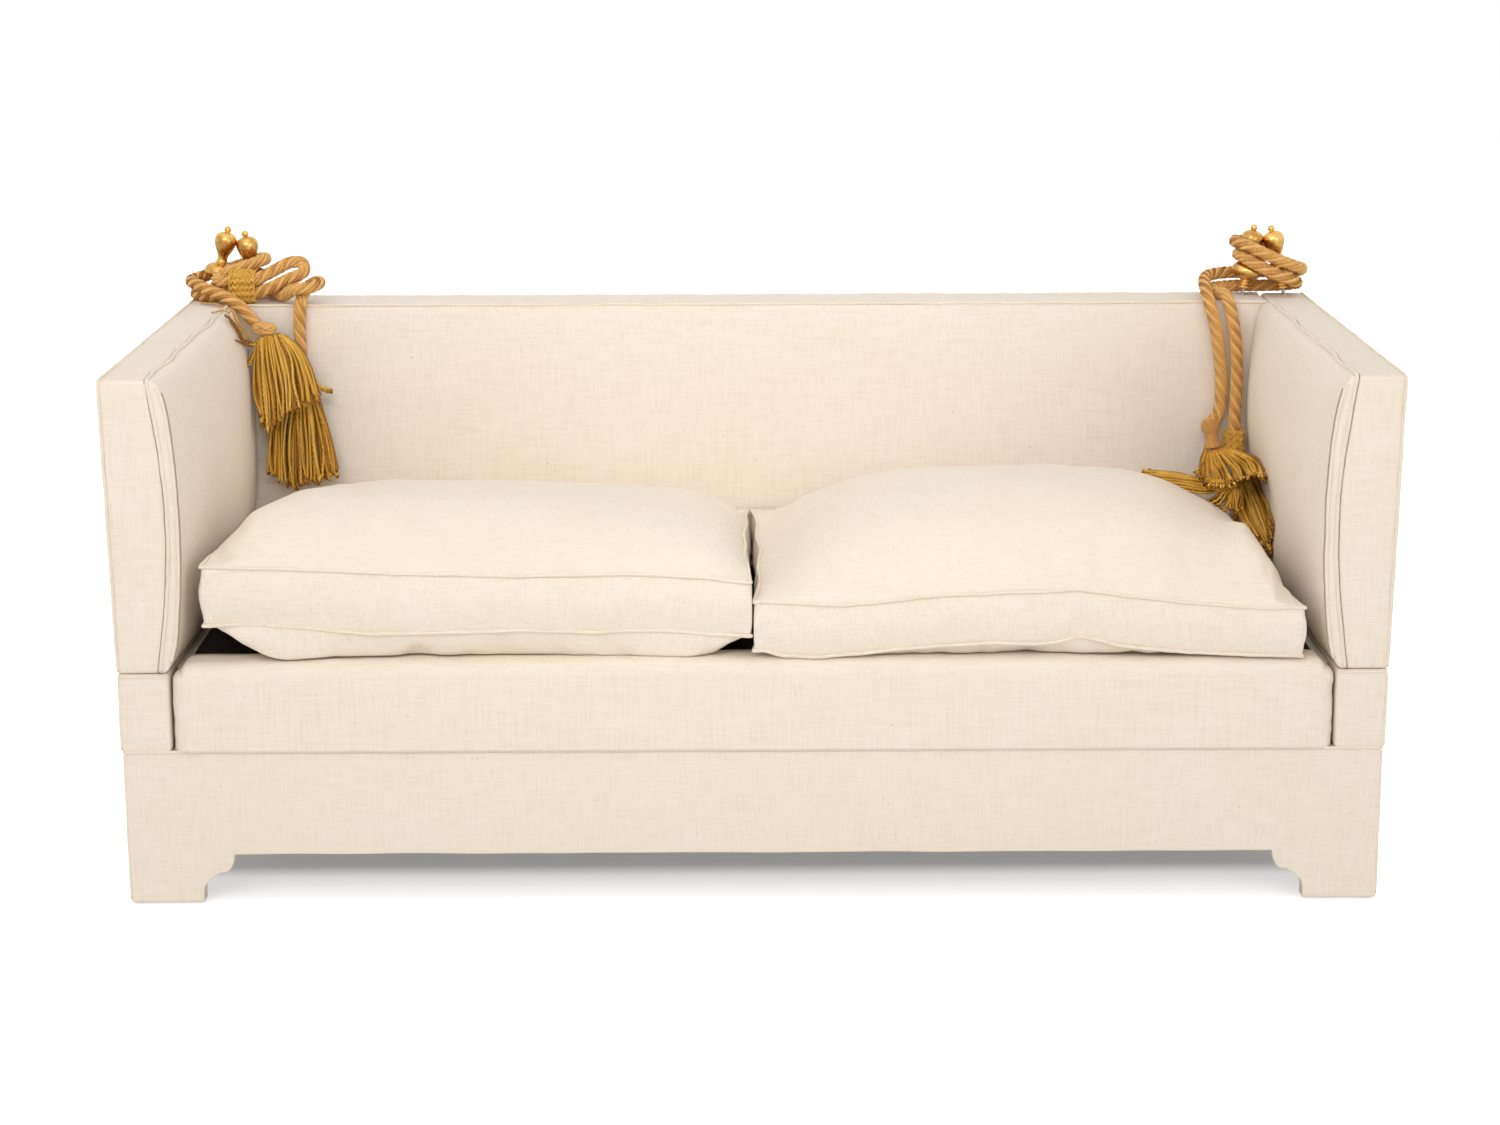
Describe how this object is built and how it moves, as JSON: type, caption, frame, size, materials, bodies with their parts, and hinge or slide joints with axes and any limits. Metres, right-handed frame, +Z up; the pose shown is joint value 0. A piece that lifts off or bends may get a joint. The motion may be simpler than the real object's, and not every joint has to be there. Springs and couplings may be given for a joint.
{
  "type": "knole sofa",
  "caption": "Straight-sided linen sofa whose hinged arms stand level with the back and are held by ropes wound round finials.",
  "frame": {"origin": "on the floor under the middle of the sofa", "axes": "+X towards the right of the sofa as seen from in front, +Y towards the back, +Z up"},
  "size_m": [2.0016, 0.9116, 0.967],
  "materials": {
    "linen": "oatmeal linen weave, matt",
    "beech": "planed beech, hidden inside",
    "hessian": "dark deck cloth, matt",
    "jute": "jute webbing, matt",
    "glide": "dark nailed glide",
    "gilt": "gilded, polished",
    "steel": "bright steel rod",
    "brass": "satin butt hinge",
    "rope": "twisted amber rope, silky",
    "braid": "woven gold braid",
    "tassel": "twisted bullion fringe, silky"
  },
  "bodies": {
    "base": {"back_frame": "beech", "inside_back": "linen", "outside_back": "linen", "corner_block_front_left": "beech", "corner_block_front_right": "beech", "corner_block_rear_left": "beech", "corner_block_rear_right": "beech", "glide_front_left": "glide", "glide_front_right": "glide", "glide_rear_left": "glide", "glide_rear_right": "glide", "front_edge_roll": "linen", "plinth_front": "linen", "plinth_rear": "linen", "plinth_left": "linen", "plinth_right": "linen", "left_side_rail": "linen", "right_side_rail": "linen", "seat_deck": "hessian", "seat_webbing": "jute", "seat_cushion_left": "linen", "seat_cushion_right": "linen", "left_back_finial": "gilt", "right_back_finial": "gilt", "left_back_pin": "steel", "right_back_pin": "steel", "left_front_hinge_base_leaf": "brass", "left_front_hinge_pin": "brass", "left_rear_hinge_base_leaf": "brass", "left_rear_hinge_pin": "brass", "right_front_hinge_base_leaf": "brass", "right_front_hinge_pin": "brass", "right_rear_hinge_base_leaf": "brass", "right_rear_hinge_pin": "brass", "left_rope_tail_outer": "rope", "left_rope_winding": "rope", "left_rope_tail_inner": "rope", "right_rope_tail_outer": "rope", "right_rope_winding": "rope", "right_rope_tail_inner": "rope", "left_rope_slide": "braid", "right_rope_slide": "braid", "left_tassel_outer": "tassel", "left_tassel_inner": "tassel", "right_tassel_outer": "tassel", "right_tassel_inner": "tassel"},
    "left_arm": {"left_arm_cover": "linen", "left_arm_frame": "beech", "left_arm_pad": "linen", "left_arm_finial": "gilt", "left_arm_pin": "steel", "left_front_hinge_arm_leaf": "brass", "left_rear_hinge_arm_leaf": "brass"},
    "right_arm": {"right_arm_cover": "linen", "right_arm_frame": "beech", "right_arm_pad": "linen", "right_arm_finial": "gilt", "right_arm_pin": "steel", "right_front_hinge_arm_leaf": "brass", "right_rear_hinge_arm_leaf": "brass"}
  },
  "joints": [
    {"name": "left_arm_drop", "type": "hinge", "parent": "base", "child": "left_arm", "pos_m": [-0.9898, 0, 0.3763], "axis": [0, -1, 0], "range_deg": [0, 90], "deforming": ["left_rope_winding", "left_rope_tail_outer"]},
    {"name": "right_arm_drop", "type": "hinge", "parent": "base", "child": "right_arm", "pos_m": [0.9898, 0, 0.3763], "axis": [0, 1, 0], "range_deg": [0, 90], "deforming": ["right_rope_winding", "right_rope_tail_outer"]}
  ]
}
